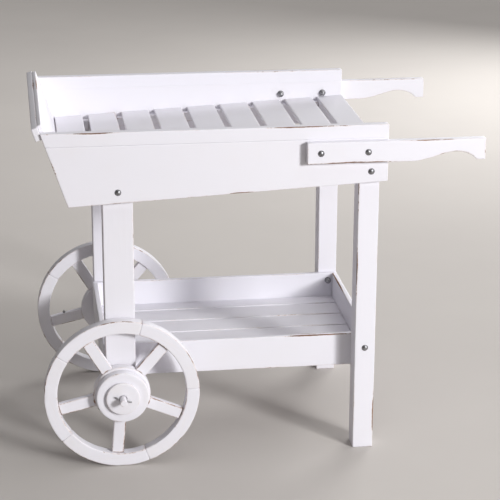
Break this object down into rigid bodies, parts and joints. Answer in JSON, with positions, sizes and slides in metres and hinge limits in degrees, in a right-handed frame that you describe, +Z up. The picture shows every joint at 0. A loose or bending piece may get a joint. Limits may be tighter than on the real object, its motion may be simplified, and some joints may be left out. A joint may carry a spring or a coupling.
{
  "type": "push vending cart",
  "caption": "White painted timber push cart with a raked slatted display tray, straight bar handles, a boxed lower shelf, spoked wheels and stand legs.",
  "frame": {"origin": "on the floor, under the centre of the cart's bounding box", "axes": "+X along the cart towards the handles, +Y across towards the far wheel, +Z up"},
  "size_m": [0.992, 0.7, 0.7961],
  "materials": {
    "painted_timber": "worn white paint",
    "dark_steel": "dull zinc, domed",
    "bush_plastic": "matt"
  },
  "bodies": {
    "root": {"axle": "painted_timber", "axle_pins": "dark_steel", "axle_washers": "dark_steel", "bolt_nuts": "dark_steel", "bolt_washers": "dark_steel", "end_panel": "painted_timber", "end_rail": "painted_timber", "far_handle": "painted_timber", "far_side_board": "painted_timber", "far_slat_runners": "painted_timber", "far_stand_leg": "painted_timber", "far_top_strip": "painted_timber", "far_wheel_leg": "painted_timber", "handle_bolts": "dark_steel", "leg_bolts": "dark_steel", "near_handle": "painted_timber", "near_side_board": "painted_timber", "near_slat_runners": "painted_timber", "near_stand_leg": "painted_timber", "near_top_strip": "painted_timber", "near_wheel_leg": "painted_timber", "shelf_batten_1": "painted_timber", "shelf_batten_2": "painted_timber", "shelf_batten_3": "painted_timber", "shelf_bolts": "dark_steel", "shelf_far_board": "painted_timber", "shelf_handle_end_board": "painted_timber", "shelf_near_board": "painted_timber", "shelf_screws": "dark_steel", "shelf_slat_1": "painted_timber", "shelf_slat_2": "painted_timber", "shelf_slat_3": "painted_timber", "shelf_slat_4": "painted_timber", "shelf_slat_5": "painted_timber", "shelf_slat_6": "painted_timber", "shelf_wheel_end_board": "painted_timber", "stand_cross_rail": "painted_timber", "tray_slat_1": "painted_timber", "tray_slat_2": "painted_timber", "tray_slat_3": "painted_timber", "tray_slat_4": "painted_timber", "tray_slat_5": "painted_timber", "tray_slat_6": "painted_timber", "tray_slat_7": "painted_timber", "tray_slat_8": "painted_timber", "tray_slat_9": "painted_timber", "tray_slat_screws": "dark_steel", "wheel_cross_rail": "painted_timber"},
    "near_wheel": {"near_wheel_boss": "painted_timber", "near_wheel_bush": "bush_plastic", "near_wheel_cap": "painted_timber", "near_wheel_felloes": "painted_timber", "near_wheel_hub_disc": "painted_timber", "near_wheel_spokes": "painted_timber"},
    "far_wheel": {"far_wheel_boss": "painted_timber", "far_wheel_bush": "bush_plastic", "far_wheel_cap": "painted_timber", "far_wheel_felloes": "painted_timber", "far_wheel_hub_disc": "painted_timber", "far_wheel_spokes": "painted_timber"}
  },
  "joints": [
    {"name": "near_wheel_spin", "type": "hinge", "parent": "root", "child": "near_wheel", "pos_m": [-0.31396, -0.293, 0.175], "axis": [0, 1, 0], "continuous": true},
    {"name": "far_wheel_spin", "type": "hinge", "parent": "root", "child": "far_wheel", "pos_m": [-0.31396, 0.293, 0.175], "axis": [0, 1, 0], "continuous": true}
  ]
}
